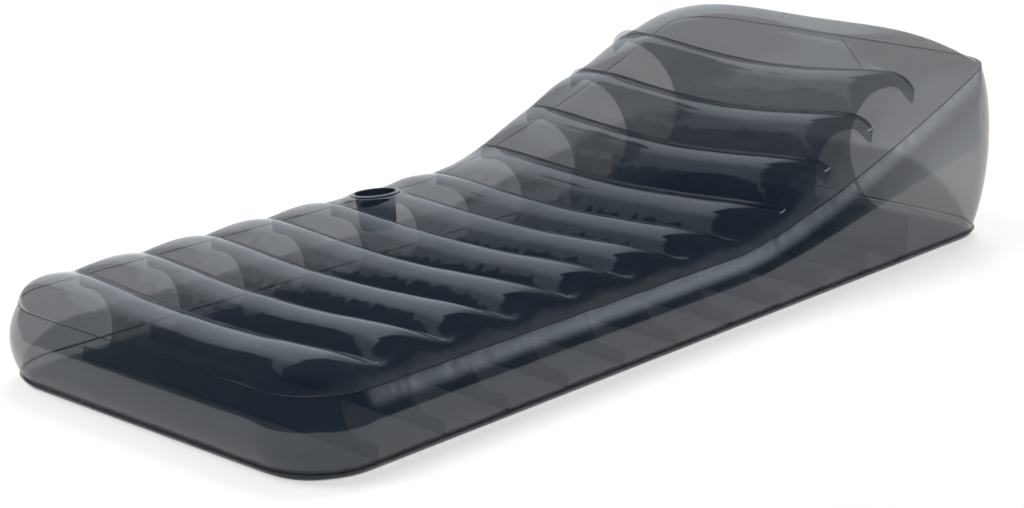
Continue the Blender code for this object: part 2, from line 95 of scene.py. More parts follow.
HALF_WIDTH = SEAM_WIDTH / 2
HALF_LENGTH = SEAM_LENGTH / 2
MIDDLE_Y = (FOOT_WALL_BULGE - HEAD_WALL_BULGE) / 2
FOOT_Y = MIDDLE_Y - HALF_LENGTH
HEAD_Y = MIDDLE_Y + HALF_LENGTH
RAMP_STEP = RAMP_PITCH * math.cos(RAMP_ANGLE)
LEVEL_PLACES = [FOOT_Y + FIRST_GROOVE + k * GROOVE_PITCH for k in range(LEVEL_GROOVES)]
GROOVES = LEVEL_PLACES + [LEVEL_PLACES[-1] + (k + 1) * RAMP_STEP for k in range(RAMP_GROOVES)]
RAMP_START = GROOVES[LEVEL_GROOVES - 1] + RAMP_STEP / 2
SEAM_RISE_START = GROOVES[LEVEL_GROOVES - 1] - SEAM_RISE_LEAD_SHARE * GROOVE_PITCH
CHANNEL_EDGES = np.array([FOOT_Y] + GROOVES + [HEAD_Y])
HEAD_CHANNEL = len(GROOVES)
CUP_GROOVE_Y = GROOVES[CUP_GROOVE]
RAMP_Y = GROOVES[LEVEL_GROOVES]
HEAD_GROOVE_Y = GROOVES[-1]

# Fineness of the meshes
CHANNEL_ROWS = 40
FOOT_ROW = 0.0036
CORNER_ROWS = 26
DECK_COLUMNS = 116
EDGE_COLUMNS = 22
EDGE_COLUMN_SHARE = 0.85
WALL_ROWS = 30
WALL_STEP = 0.006
BEAM_STEPS = 72
FLANGE_STEPS = 120
BAND_STEPS = 160
CUT_STEPS = 28
ROUND_STEPS = 4
TURN_STEPS = 96

# Channels: how full they stand near their ends, and how they ease out beside the cup
NEAR_FULLNESS = 9
FAR_FULLNESS = 6.5
FULLNESS_WIDTH = 0.12
CUP_EASE = (0.07, 0.13)
SEAT_LEAD = 0.001
SEAT_EASE = 0.024

# The swelling beyond a groove's weld
SWELL_SHARE = 0.25
SWELL_LEAD = 0.004
SWELL_EDGE = 0.05
SWELL_ENDS = (0.03, 0.08)

# The ramp's far shoulder: how much lower it sits, and where
SHOULDER_DROP = 0.011
SHOULDER_CROWN_DROP = 0.7
SHOULDER_ACROSS = (-0.24, -0.35)
SHOULDER_FOOT_END = (0.42, 0.56)
SHOULDER_HEAD_END = (0.66, 0.77)
SHOULDER_EDGE = 0.03

# Folds of the deck: their heights, their pitches and where on a channel's flank they lie
FLANK_FOLD = 0.00024
FLANK_PITCH = 0.013
SECOND_FLANK_PITCH = 0.029
SECOND_FLANK_SHARE = 0.9
FLANK_START = 0.06
FLANK_END = (0.14, 0.34)
SLOW_FOLD = 0.0009
SLOW_PITCH = 0.07
SLOW_SHIFT = 3.0
SEAM_FOLD = 0.0003
SEAM_PITCH = 0.011
SECOND_SEAM_PITCH = 0.027
SEAM_REACH = 0.012

# Side wall: the brow under the head's seam, and the folds along both seams
BROW = 1.3
BROW_POWER = 5
BROW_LEAD = 0.05
CORNER_FOLDS = 5.0
UPPER_FOLD = 0.00028
UPPER_PITCH = 0.010
SECOND_UPPER_PITCH = 0.024
UPPER_REACH = 0.016
LOWER_FOLD = 0.0005
LOWER_PITCH = 0.012
SECOND_LOWER_PITCH = 0.030
LOWER_REACH = 0.012
LOWER_START = 0.003
FOLD_START = 0.004

# Beams: how deep their ends are cut, their tabs and their weld flanges
NEAR_CUT = 0.82
FAR_CUT = 0.88
RAMP_CUT = 1.08
# Painted shade: the ramp beams' lower tabs reach higher than the part's, so extra web film darkens the head
# where the key light's shadow lies on the floor behind it
PAINTED_SHADE_TAB_EXTRA = 0.06
TAB_POINTS = (0.2, 0.4, 0.6, 0.8)
FLANGE_WIDTH = 0.008
FLANGE_LINES = 5
FLANGE_OFFSET = 0.0004

# Seams and weld marks
BEAD_SHIFT = 0.0004
BEAD_WIDTH = 0.0009
BEAD_HEIGHT = 0.0008
BEAD_SIDES = 8
FIN_ROOT = -0.001
FIN_SHOULDER = 0.0045
FIN_EDGE = 0.0052
FIN_THICKNESS = 0.002
FIN_EDGE_THICKNESS = 0.0008
FIN_SKEW = 0.0001
WELD_BAND = 0.006
BAND_LIFT = 0.0004
BAND_TAPER = 0.06
SCAR_BACK = 0.012
SCAR_AHEAD = 0.004
SCAR_WIDTH = 0.0013
SCAR_LIFT = 0.0008
SCAR_PLACE = 0.985
JOINT_WIDTH = 0.0028
JOINT_LEAN = 0.045
JOINT_SINK = 0.0006
JOINT_SHARES = (0.82, 0.99)


def smooth(low, high, value):
    """Eased step from 0 at low to 1 at high."""
    t = np.clip((value - low) / (high - low), 0.0, 1.0)
    return t * t * (3.0 - 2.0 * t)


def wander(seed, place):
    """Smooth random values from -1 to 1 along a line, one knot per unit of place."""
    knots = np.random.default_rng(seed).uniform(-1.0, 1.0, 4096)
    place = np.asarray(place, float) + 1000.0
    low = np.floor(place).astype(int)
    t = place - low
    t = t * t * (3.0 - 2.0 * t)
    return knots[low % 4096] * (1.0 - t) + knots[(low + 1) % 4096] * t


def progress(y, start, end):
    return np.clip((y - start) / (end - start), 0.0, 1.0)


def half_width_at(y):
    half = np.full_like(np.asarray(y, float), HALF_WIDTH)
    for end, radius in ((FOOT_Y, FOOT_CORNER_RADIUS), (HEAD_Y, HEAD_CORNER_RADIUS)):
        inset = np.clip(radius - np.abs(y - end), 0.0, radius)
        narrow = HALF_WIDTH - radius + np.sqrt(radius * radius - inset * inset)
        half = np.where(inset > 0.0, narrow, half)
    return half


def tip_at(y):
    widening = progress(y, CUP_GROOVE_Y, RAMP_Y)
    return (TIP_SHARE + (RAMP_TIP_SHARE - TIP_SHARE) * widening) * half_width_at(y)


def seam_height(y):
    rise = SEAM_RISE_SHARE * progress(y, SEAM_RISE_START, HEAD_Y) ** SEAM_RISE_POWER
    overlap = np.maximum(SEAM_RISE_BLEND_SHARE - np.abs(rise - 1.0), 0.0)
    rise = np.minimum(rise, 1.0) - overlap * overlap / (4 * SEAM_RISE_BLEND_SHARE)
    return FOOT_SEAM_HEIGHT + (HEAD_SEAM_HEIGHT - FOOT_SEAM_HEIGHT) * rise


def ramp_rise(y):
    return math.tan(RAMP_ANGLE) * RAMP_BLEND * np.log1p(np.exp((y - RAMP_START) / RAMP_BLEND))


def deck_height(y):
    top = DECK_HEIGHT + ramp_rise(HEAD_GROOVE_Y)
    beyond = top + (HEAD_SEAM_HEIGHT - top) * progress(y, HEAD_GROOVE_Y, HEAD_Y)
    return np.where(y <= HEAD_GROOVE_Y, DECK_HEIGHT + ramp_rise(np.minimum(y, HEAD_GROOVE_Y)), beyond)


def deck_sag(x, y):
    depth = DECK_SAG + (RAMP_SAG - DECK_SAG) * progress(y, RAMP_START, GROOVES[-2])
    fade = 1.0 - progress(y, HEAD_GROOVE_Y, HEAD_Y)
    across = x / (SHOULDER_SHARE * half_width_at(y))
    return depth * fade * np.maximum(1.0 - across * across, 0.0) ** SAG_POWER


def edge_share(distance, width):
    left = 1.0 - np.clip(distance / width, 0.0, 1.0)
    return np.sqrt(1.0 - left ** EDGE_POWER)


def channel_share(y):
    index = np.clip(np.searchsorted(CHANNEL_EDGES, y, side="left") - 1, 0, len(CHANNEL_EDGES) - 2)
    low = CHANNEL_EDGES[index]
    return index, np.clip((y - low) / (CHANNEL_EDGES[index + 1] - low), 0.0, 1.0)


def across_share(x, y):
    return np.maximum(1.0 - (x / tip_at(y)) ** 4, 0.0)


def channel_crown(y):
    index, share = channel_share(y)
    crown = np.where(index == HEAD_CHANNEL, HEAD_CROWN, CHANNEL_CROWN)
    return crown * (1.0 - (2.0 * share - 1.0) ** 2)


def top_height(x, y):
    """Height of the top sheet, as the part has it."""
    seam = seam_height(y)
    level = deck_height(y) - deck_sag(x, y)
    spread = np.maximum(deck_height(y) - seam - (DECK_HEIGHT - FOOT_SEAM_HEIGHT), 0.0)
    side = edge_share(half_width_at(y) - np.abs(x), EDGE_WIDTH + EDGE_SPREAD_SHARE * spread)
    end = edge_share(np.minimum(y - FOOT_Y, HEAD_Y - y), EDGE_WIDTH)
    return seam + (level - seam) * side * end + channel_crown(y) * across_share(x, y)


def under_height(x, y):
    side = edge_share(half_width_at(y) - np.abs(x), UNDER_EDGE_WIDTH)
    end = edge_share(np.minimum(y - FOOT_Y, HEAD_Y - y), UNDER_EDGE_WIDTH)
    index, share = channel_share(y)
    near = np.minimum(share, 1.0 - share) / UNDER_FLAT_SHARE
    lift = UNDER_GROOVE_LIFT * np.maximum(1.0 - near, 0.0) * across_share(x, y)
    outside = ((index == 0) & (share < 0.5)) | ((index == HEAD_CHANNEL) & (share > 0.5))
    lift = np.where(outside, 0.0, lift)
    return (BOTTOM_SEAM_HEIGHT - FILM / 2) * (1.0 - side * end) + lift + FILM / 2


CUP_SEAT = CUP_RADIUS + CUP_RIM_WIDTH
CUP_X = CUP_SEAT + GAP + CUP_TIP_CLEARANCE - TIP_SHARE * HALF_WIDTH
CUP_Y = (GROOVES[CUP_GROOVE - 1] + CUP_GROOVE_Y) / 2
CUP_Z = float(top_height(np.array([CUP_X]), np.array([CUP_Y]))[0])


def fullness(x, y):
    """How full a channel stands near its ends, beyond the part's plainer share."""
    plain = across_share(x, y)
    index, _ = channel_share(y)
    across = np.abs(x / half_width_at(y))
    near = np.maximum(1.0 - across ** NEAR_FULLNESS, 0.0)
    far = np.maximum(1.0 - across ** FAR_FULLNESS, 0.0)
    far_mix = smooth(*CUP_EASE, np.abs(y - CUP_Y)) * (1.0 - smooth(CUP_GROOVE_Y, RAMP_Y, y))
    mix = smooth(0.0, FULLNESS_WIDTH, np.abs(x)) * np.where(x > 0.0, 1.0, far_mix)
    mix = np.where(index == HEAD_CHANNEL, 0.0, mix)
    return plain + (np.where(x > 0.0, near, far) - plain) * mix


def tip_fill(x, y):
    """Beyond the end of a groove's weld the film swells again."""
    _, share = channel_share(y)
    half = half_width_at(y)
    beyond = smooth(0.0, 1.0, (x - tip_at(y) + SWELL_LEAD) / (half - tip_at(y)))
    ends = smooth(*SWELL_ENDS, np.minimum(y - FOOT_Y, HEAD_Y - y))
    swell = SWELL_SHARE * CHANNEL_CROWN * (2.0 * share - 1.0) ** 4
    return swell * beyond * ends * edge_share(half - np.abs(x), SWELL_EDGE)


def far_shoulder(x, y):
    """The ramp's far shoulder sits lower, and its channels stand out less there."""
    index, _ = channel_share(y)
    crown = np.where(index == HEAD_CHANNEL, 0.0, channel_crown(y) * across_share(x, y))
    low = (SHOULDER_DROP + SHOULDER_CROWN_DROP * crown) * smooth(*SHOULDER_ACROSS, x)
    low = low * smooth(*SHOULDER_FOOT_END, y) * (1.0 - smooth(*SHOULDER_HEAD_END, y))
    return low * edge_share(half_width_at(y) - np.abs(x), SHOULDER_EDGE)


def folds(*rows):
    """Wandering heights added up, one for each row of seed, place and pitch."""
    return sum(wander(seed, place / pitch) for seed, place, pitch in rows)


def beside_seam(distance, reach, start):
    """Share of a seam's folds at a distance from it: none on the seam, and most of them just beside it."""
    return np.exp(-distance / reach) * smooth(0.0, start, distance)


def puckers(x, y):
    """Small folds of the deck: across the grooves' flanks, over the channels and along the seams."""
    index, share = channel_share(y)
    near = np.minimum(share, 1.0 - share)
    flank = smooth(0.0, FLANK_START, near) * (1.0 - smooth(*FLANK_END, near))
    fine = np.zeros_like(x)
    for channel in range(HEAD_CHANNEL):
        for side, half in enumerate((share < 0.5, share >= 0.5)):
            seed = 100 + 7 * channel + side
            height = folds((seed, x, FLANK_PITCH))
            height = height + SECOND_FLANK_SHARE * folds((seed + 50, x, SECOND_FLANK_PITCH))
            fine = np.where((index == channel) & half, height, fine)
    fine = FLANK_FOLD * fine * flank * across_share(x, y)
    slow = SLOW_FOLD * wander(31, x / SLOW_PITCH + SLOW_SHIFT * index) * across_share(x, y)
    slow = np.where(index == HEAD_CHANNEL, 0.0, slow * (1.0 - (2.0 * share - 1.0) ** 2))
    rim = np.minimum(half_width_at(y) - np.abs(x), np.minimum(y - FOOT_Y, HEAD_Y - y))
    along = folds((61, y, SEAM_PITCH), (62, y, SECOND_SEAM_PITCH), (63, x, SEAM_PITCH))
    return fine + slow + SEAM_FOLD * along * beside_seam(rim, SEAM_REACH, FOLD_START)


def deck_surface(x, y):
    """Height of the top sheet in the picture: the part's, its folds, and the flat seat of the cup."""
    height = top_height(x, y) + channel_crown(y) * (fullness(x, y) - across_share(x, y))
    height = height + tip_fill(x, y) - far_shoulder(x, y) + puckers(x, y)
    away = np.hypot(x - CUP_X, y - CUP_Y)
    seat = CUP_Z + (x - CUP_X) * math.tan(CUP_TILT)
    mix = smooth(CUP_SEAT - SEAT_LEAD, CUP_SEAT + SEAT_EASE, away)
    return seat * (1.0 - mix) + height * mix


def sheet_rows(channel_rows):
    rows = []
    for k in range(CORNER_ROWS):
        rows.append(FOOT_Y + FOOT_CORNER_RADIUS * (1.0 - math.cos(math.pi / 2 * k / CORNER_ROWS)))
    start = FOOT_Y + FOOT_CORNER_RADIUS
    steps = max(int((GROOVES[0] - start) / FOOT_ROW), 2)
    rows += [start + (GROOVES[0] - start) * k / steps for k in range(steps)]
    for low, high in zip(GROOVES[:-1], GROOVES[1:]):
        rows += [low + (high - low) * k / channel_rows for k in range(channel_rows)]
    end = HEAD_Y - HEAD_CORNER_RADIUS
    steps = int(channel_rows * (end - HEAD_GROOVE_Y) / GROOVE_PITCH)
    rows += [HEAD_GROOVE_Y + (end - HEAD_GROOVE_Y) * k / steps for k in range(steps)]
    for k in range(CORNER_ROWS + 1):
        rows.append(HEAD_Y - HEAD_CORNER_RADIUS * (1.0 - math.sin(math.pi / 2 * k / CORNER_ROWS)))
    return np.array(rows)


def column_shares(inner, outer):
    half = [EDGE_COLUMN_SHARE * k / inner for k in range(inner + 1)]
    left = 1.0 - EDGE_COLUMN_SHARE
    half += [EDGE_COLUMN_SHARE + left * math.sin(math.pi / 2 * (k + 1) / outer) for k in range(outer)]
    return np.array([-share for share in reversed(half[1:])] + half)


def grid_object(name, points, closed=False):
    """A smooth mesh from a rows by columns array of points; closed joins the last row to the first."""
    count, width = points.shape[:2]
    rows = np.arange(count if closed else count - 1)
    low = rows[:, None] * width + np.arange(width - 1)[None, :]
    high = ((rows + 1) % count)[:, None] * width + np.arange(width - 1)[None, :]
    faces = np.stack([low, low + 1, high + 1, high], axis=-1).reshape(-1, 4)
    mesh = bpy.data.meshes.new(name)
    mesh.from_pydata(points.reshape(-1, 3).tolist(), [], faces.tolist())
    mesh.shade_smooth()
    mesh.update()
    item = bpy.data.objects.new(name, mesh)
    bpy.context.scene.collection.objects.link(item)
    return item


def settle(item, material, slot, body, *nodes):
    item.data.materials.clear()
    item.data.materials.append(material)
    if nodes:
        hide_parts(*nodes)
    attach(item, body)
    return item


# Materials

DULL_EDGE_START = 0.045
DULL_EDGE_END = 0.012


def new_material(name):
    material = bpy.data.materials.new(name)
    material.use_nodes = True
    return material, material.node_tree.nodes, material.node_tree.links


def add(nodes, kind, **values):
    node = nodes.new(kind)
    for key, value in values.items():
        setattr(node, key, value)
    return node


def film_material(name, dark, light, alpha, rough, ior, dull_edge=0.0):
    """Tinted vinyl film: faint clouding in the tint, uneven gloss and small waves.

    The gloss fades towards the near seam where dull_edge is set.
    """
    material, nodes, links = new_material(name)
    shader = nodes["Principled BSDF"]
    shader.inputs["Alpha"].default_value = alpha
    shader.inputs["IOR"].default_value = ior
    place = add(nodes, "ShaderNodeTexCoord")
    cloud = add(nodes, "ShaderNodeTexNoise")
    cloud.inputs["Scale"].default_value = 9.0
    cloud.inputs["Detail"].default_value = 5.0
    links.new(place.outputs["Object"], cloud.inputs["Vector"])
    tint = add(nodes, "ShaderNodeValToRGB")
    tint.color_ramp.elements[0].position = 0.3
    tint.color_ramp.elements[0].color = (*dark, 1.0)
    tint.color_ramp.elements[1].position = 0.7
    tint.color_ramp.elements[1].color = (*light, 1.0)
    links.new(cloud.outputs["Fac"], tint.inputs["Fac"])
    links.new(tint.outputs["Color"], shader.inputs["Base Color"])
    gloss = add(nodes, "ShaderNodeMapRange")
    gloss.inputs["From Min"].default_value = 0.3
    gloss.inputs["From Max"].default_value = 0.7
    gloss.inputs["To Min"].default_value = rough * 0.75
    gloss.inputs["To Max"].default_value = rough * 1.3
    patch = add(nodes, "ShaderNodeTexNoise")
    patch.inputs["Scale"].default_value = 22.0
    patch.inputs["Detail"].default_value = 4.0
    links.new(place.outputs["Object"], patch.inputs["Vector"])
    links.new(patch.outputs["Fac"], gloss.inputs["Value"])
    links.new(gloss.outputs["Result"], shader.inputs["Roughness"])
    if dull_edge:
        split = add(nodes, "ShaderNodeSeparateXYZ")
        links.new(place.outputs["Object"], split.inputs[0])
        edge = add(nodes, "ShaderNodeMapRange", interpolation_type="SMOOTHSTEP")
        edge.inputs["From Min"].default_value = HALF_WIDTH - DULL_EDGE_START
        edge.inputs["From Max"].default_value = HALF_WIDTH - DULL_EDGE_END
        edge.inputs["To Max"].default_value = dull_edge
        links.new(split.outputs["X"], edge.inputs["Value"])
        total = add(nodes, "ShaderNodeMath", operation="ADD")
        links.new(gloss.outputs["Result"], total.inputs[0])
        links.new(edge.outputs["Result"], total.inputs[1])
        links.new(total.outputs[0], shader.inputs["Roughness"])
    waves = add(nodes, "ShaderNodeTexNoise")
    waves.inputs["Scale"].default_value = 12.0
    waves.inputs["Detail"].default_value = 1.5
    links.new(place.outputs["Object"], waves.inputs["Vector"])
    bump = add(nodes, "ShaderNodeBump")
    bump.inputs["Strength"].default_value = 0.25
    bump.inputs["Distance"].default_value = 0.003
    links.new(waves.outputs["Fac"], bump.inputs["Height"])
    links.new(bump.outputs["Normal"], shader.inputs["Normal"])
    return material


DECK_TINTS = ((0.0035, 0.0085, 0.016), (0.005, 0.0115, 0.021))
UNDER_TINTS = ((0.003, 0.0075, 0.015), (0.005, 0.011, 0.020))
BEAM_TINTS = ((0.005, 0.010, 0.018), (0.007, 0.013, 0.023))
WELD_TINTS = ((0.004, 0.006, 0.010), (0.006, 0.009, 0.014))
SCAR_TINTS = ((0.22, 0.24, 0.26), (0.30, 0.32, 0.35))
RIM_TINTS = ((0.036, 0.050, 0.068), (0.046, 0.064, 0.086))
# The cup's tint is the pocket's own film, made near black to paint the shade of the deep pocket
CUP_TINTS_AND_SHADE = ((0.004, 0.006, 0.009), (0.006, 0.009, 0.013))
VALVE_TINTS = ((0.20, 0.23, 0.26), (0.26, 0.29, 0.32))

DECK_FILM = film_material("deck_film", *DECK_TINTS, alpha=0.62, rough=0.06, ior=1.75, dull_edge=0.45)
WALL_FILM = film_material("wall_film", *DECK_TINTS, alpha=0.62, rough=0.08, ior=1.70)
UNDER_FILM = film_material("under_film", *UNDER_TINTS, alpha=0.62, rough=0.35, ior=1.3)
BEAM_FILM = film_material("beam_film", *BEAM_TINTS, alpha=0.55, rough=0.30, ior=1.4)
WELD_FILM = film_material("weld_film", *WELD_TINTS, alpha=0.55, rough=0.24, ior=1.5)
SCAR_FILM = film_material("scar_film", *SCAR_TINTS, alpha=0.70, rough=0.40, ior=1.5)
RIM_VINYL = film_material("rim_vinyl", *RIM_TINTS, alpha=0.80, rough=0.18, ior=1.7)
# Almost opaque cup film: the pocket's own tinted film plus painted shade of its hollow
CUP_FILM_AND_SHADE = film_material("cup_film", *CUP_TINTS_AND_SHADE, alpha=0.99, rough=0.45, ior=1.2)
VALVE_VINYL = film_material("valve_vinyl", *VALVE_TINTS, alpha=0.12, rough=0.30, ior=1.4)


# Sheets

ROWS = sheet_rows(CHANNEL_ROWS)
SHARES = column_shares(DECK_COLUMNS, EDGE_COLUMNS)


def sheet_points(height):
    y = np.repeat(ROWS[:, None], len(SHARES), axis=1)
    x = SHARES[None, :] * half_width_at(y)
    return np.stack([x, y, height(x, y)], axis=-1)


def make_top_sheet():
    item = grid_object("top_sheet_film", sheet_points(deck_surface))
    open_hole(item.data)
    return settle(item, DECK_FILM, "tinted_film", "mat", "top_sheet")


HOLE_DRAW = 0.012


def open_hole(mesh):
    """Cuts the cup's round hole: faces inside go, and the edge left is drawn to the circle."""
    body = bmesh.new()
    body.from_mesh(mesh)
    away = {v: math.hypot(v.co.x - CUP_X, v.co.y - CUP_Y) for v in body.verts}
    inside = [f for f in body.faces if min(away[v] for v in f.verts) < CUP_RADIUS]
    bmesh.ops.delete(body, geom=inside, context="FACES")
    for v in body.verts:
        away_now = away.get(v, 1.0)
        if v.is_boundary and away_now < CUP_RADIUS + HOLE_DRAW:
            scale = CUP_RADIUS / away_now
            v.co.x = CUP_X + (v.co.x - CUP_X) * scale
            v.co.y = CUP_Y + (v.co.y - CUP_Y) * scale
            v.co.z = CUP_Z + (v.co.x - CUP_X) * math.tan(CUP_TILT)
    body.to_mesh(mesh)
    body.free()
    mesh.shade_smooth()


def make_bottom_sheet():
    item = grid_object("bottom_sheet_film", sheet_points(under_height)[::2, ::2])
    return settle(item, UNDER_FILM, "tinted_film", "mat", "bottom_sheet")


def plan_stations(step):
    """Points round the seams' plan with outward directions, from the middle of the back clockwise."""
    low_y = FOOT_Y + FOOT_CORNER_RADIUS
    high_y = HEAD_Y - HEAD_CORNER_RADIUS
    head_end = HALF_WIDTH - HEAD_CORNER_RADIUS
    foot_end = HALF_WIDTH - FOOT_CORNER_RADIUS
    half = []
    count = int(head_end / step)
    half += [(head_end * k / count, HEAD_Y, 0.0, 1.0) for k in range(count)]
    turns = [math.pi / 2 * k / CORNER_ROWS for k in range(CORNER_ROWS + 1)]
    half += [(head_end + HEAD_CORNER_RADIUS * math.sin(a), high_y + HEAD_CORNER_RADIUS * math.cos(a),
              math.sin(a), math.cos(a)) for a in turns]
    count = int((high_y - low_y) / step)
    half += [(HALF_WIDTH, high_y + (low_y - high_y) * k / count, 1.0, 0.0) for k in range(1, count)]
    half += [(foot_end + FOOT_CORNER_RADIUS * math.cos(a), low_y - FOOT_CORNER_RADIUS * math.sin(a),
              math.cos(a), -math.sin(a)) for a in turns]
    count = int(foot_end / step)
    half += [(foot_end * (1 - k / count), FOOT_Y, 0.0, -1.0) for k in range(1, count + 1)]
    other = [(-x, y, -out_x, out_y) for x, y, out_x, out_y in reversed(half[1:-1])]
    return np.array(half + other)


STATIONS = plan_stations(WALL_STEP)
AROUND = np.concatenate([[0.0], np.cumsum(np.hypot(*np.diff(STATIONS[:, :2], axis=0).T))])


def wall_points():
    low = BOTTOM_SEAM_HEIGHT
    high = seam_height(STATIONS[:, 1])
    share = (1.0 - np.cos(np.pi * np.arange(WALL_ROWS + 1) / WALL_ROWS)) / 2
    height = (high - low)[:, None]
    taller = (height - (FOOT_SEAM_HEIGHT - BOTTOM_SEAM_HEIGHT)) / (HEAD_SEAM_HEIGHT - FOOT_SEAM_HEIGHT)
    bulge_size = FOOT_WALL_BULGE + (HEAD_WALL_BULGE - FOOT_WALL_BULGE) * taller
    brow = BROW * progress(STATIONS[:, 1], RAMP_Y - BROW_LEAD, GROOVES[LEVEL_GROOVES + 2])[:, None]
    bulge = (4.0 + brow * share ** BROW_POWER) * share * (1.0 - share) * bulge_size
    corner = 1.0 + CORNER_FOLDS * np.abs(STATIONS[:, 2] * STATIONS[:, 3])[:, None]
    upper = folds((71, AROUND, UPPER_PITCH), (72, AROUND, SECOND_UPPER_PITCH))[:, None]
    upper = UPPER_FOLD * corner * upper * beside_seam((1.0 - share) * height, UPPER_REACH, FOLD_START)
    lower = folds((73, AROUND, LOWER_PITCH), (74, AROUND, SECOND_LOWER_PITCH))[:, None]
    lower = LOWER_FOLD * lower * beside_seam(share * height, LOWER_REACH, LOWER_START)
    bulge = bulge + upper + lower
    x = STATIONS[:, 0, None] + STATIONS[:, 2, None] * bulge
    y = STATIONS[:, 1, None] + STATIONS[:, 3, None] * bulge
    z = low + share * height
    return np.stack([x, y, z], axis=-1)


def make_side_wall():
    item = grid_object("side_wall_film", wall_points(), closed=True)
    return settle(item, WALL_FILM, "tinted_film", "mat", "side_wall")


# Beams

def arc(x, z, radius, start, stop, steps, squash=1.0):
    """Points on an arc round (x, z), squashed along x."""
    angles = [start + (stop - start) * k / steps for k in range(steps + 1)]
    return [(x + squash * radius * math.cos(a), z + radius * math.sin(a)) for a in angles]


def beam_outline(y, squash):
    """Half outline of a beam for x >= 0, from the middle of its top edge round to that of its bottom edge."""
    tip = float(tip_at(np.array([y]))[0]) - TAB_CLEARANCE
    across = np.linspace(0.0, tip, BEAM_STEPS)
    level = np.full_like(across, y)
    top = list(zip(across, deck_surface(across, level) - GAP))
    bottom = list(zip(across, under_height(across, level) + GAP))
    # Lower tab raised on the ramp beams: extra web film as painted shade in the head
    low = bottom[-1][1] + TAB_HEIGHT + PAINTED_SHADE_TAB_EXTRA * float(progress(y, RAMP_Y, HEAD_GROOVE_Y))
    blunt = top[-1][1] - TAB_HEIGHT
    root = np.interp(tip - TAB_LENGTH, across, [z for _, z in top]) - TAB_HEIGHT
    high = max(root, blunt)
    quarter = math.pi / 2
    end = arc(tip - TAB_ROUND, blunt + TAB_ROUND, TAB_ROUND, 0.0, -quarter, ROUND_STEPS)
    end += [(tip - TAB_ROUND + (TAB_ROUND - TAB_LENGTH) * t, blunt + (high - blunt) * t) for t in TAB_POINTS]
    end += arc(tip - TAB_LENGTH, (high + low) / 2, (high - low) / 2, quarter, 3 * quarter, CUT_STEPS, squash)
    end += arc(tip - TAB_ROUND, low - TAB_ROUND, TAB_ROUND, quarter, 0.0, ROUND_STEPS)
    return top + end + list(reversed(bottom))


def make_beam(index, y):
    """A strip of film across the mat with a narrow weld flange along its top and bottom edges."""
    half = beam_outline(y, NEAR_CUT)
    other = beam_outline(y, FAR_CUT + (RAMP_CUT - FAR_CUT) * float(progress(y, CUP_GROOVE_Y, RAMP_Y)))
    outline = half + [(-x, z) for x, z in reversed(other[1:-1])]
    body = bmesh.new()
    body.faces.new([body.verts.new((x, y, z)) for x, z in outline])
    tip = float(tip_at(np.array([y]))[0]) - TAB_CLEARANCE
    across = np.linspace(-tip, tip, FLANGE_STEPS + 1)
    for height, offset in ((deck_surface, -FLANGE_OFFSET), (under_height, FLANGE_OFFSET)):
        lines = []
        for shift in np.linspace(-FLANGE_WIDTH / 2, FLANGE_WIDTH / 2, FLANGE_LINES):
            z = height(across, np.full_like(across, y + shift)) + offset
            lines.append([body.verts.new((x, y + shift, h)) for x, h in zip(across, z)])
        for first, second in zip(lines[:-1], lines[1:]):
            for k in range(len(across) - 1):
                body.faces.new((first[k], first[k + 1], second[k + 1], second[k]))
    name = f"i_beam_{index:02d}_film"
    mesh = bpy.data.meshes.new(name)
    body.to_mesh(mesh)
    body.free()
    mesh.shade_smooth()
    item = bpy.data.objects.new(name, mesh)
    bpy.context.scene.collection.objects.link(item)
    return settle(item, BEAM_FILM, "beam_film", "mat", f"i_beam_{index:02d}")


# Seams

def sweep(name, path, profile):
    """A closed sweep round the plan: profile gives (out, up) offsets for each corner of the section."""
    points = []
    for (x, y, out_x, out_y), z in zip(STATIONS, path):
        ring = [(x + out_x * out, y + out_y * out, z + up) for out, up in profile]
        points.append(ring + ring[:1])
    return grid_object(name, np.array(points), closed=True)


def make_seams():
    """The thin bead along the top seam and the flat fin along the bottom seam."""
    bead = [(BEAD_SHIFT + BEAD_WIDTH * math.cos(a), BEAD_HEIGHT * math.sin(a))
            for a in np.linspace(0, math.tau, BEAD_SIDES + 1)[:-1]]
    settle(sweep("top_seam_weld", seam_height(STATIONS[:, 1]), bead), WELD_FILM, "tinted_film", "mat")
    half, thin = FIN_THICKNESS / 2, FIN_EDGE_THICKNESS / 2
    fin = [(FIN_ROOT, FIN_SKEW - half), (FIN_SHOULDER, -FIN_SKEW - half), (FIN_EDGE, -thin), (FIN_EDGE, thin),
           (FIN_SHOULDER, half - FIN_SKEW), (FIN_ROOT, half + FIN_SKEW)]
    level = np.full(len(STATIONS), BOTTOM_SEAM_HEIGHT)
    settle(sweep("bottom_seam_weld", level, fin), WELD_FILM, "tinted_film", "mat")


def ribbon(name, paths, material):
    """Narrow strips of film, one for each pair of edge lines."""
    body = bmesh.new()
    for first, second in paths:
        low = [body.verts.new(point) for point in first]
        high = [body.verts.new(point) for point in second]
        for k in range(len(low) - 1):
            body.faces.new((low[k], low[k + 1], high[k + 1], high[k]))
    mesh = bpy.data.meshes.new(name)
    body.to_mesh(mesh)
    body.free()
    mesh.shade_smooth()
    item = bpy.data.objects.new(name, mesh)
    bpy.context.scene.collection.objects.link(item)
    return settle(item, material, "tinted_film", "mat")


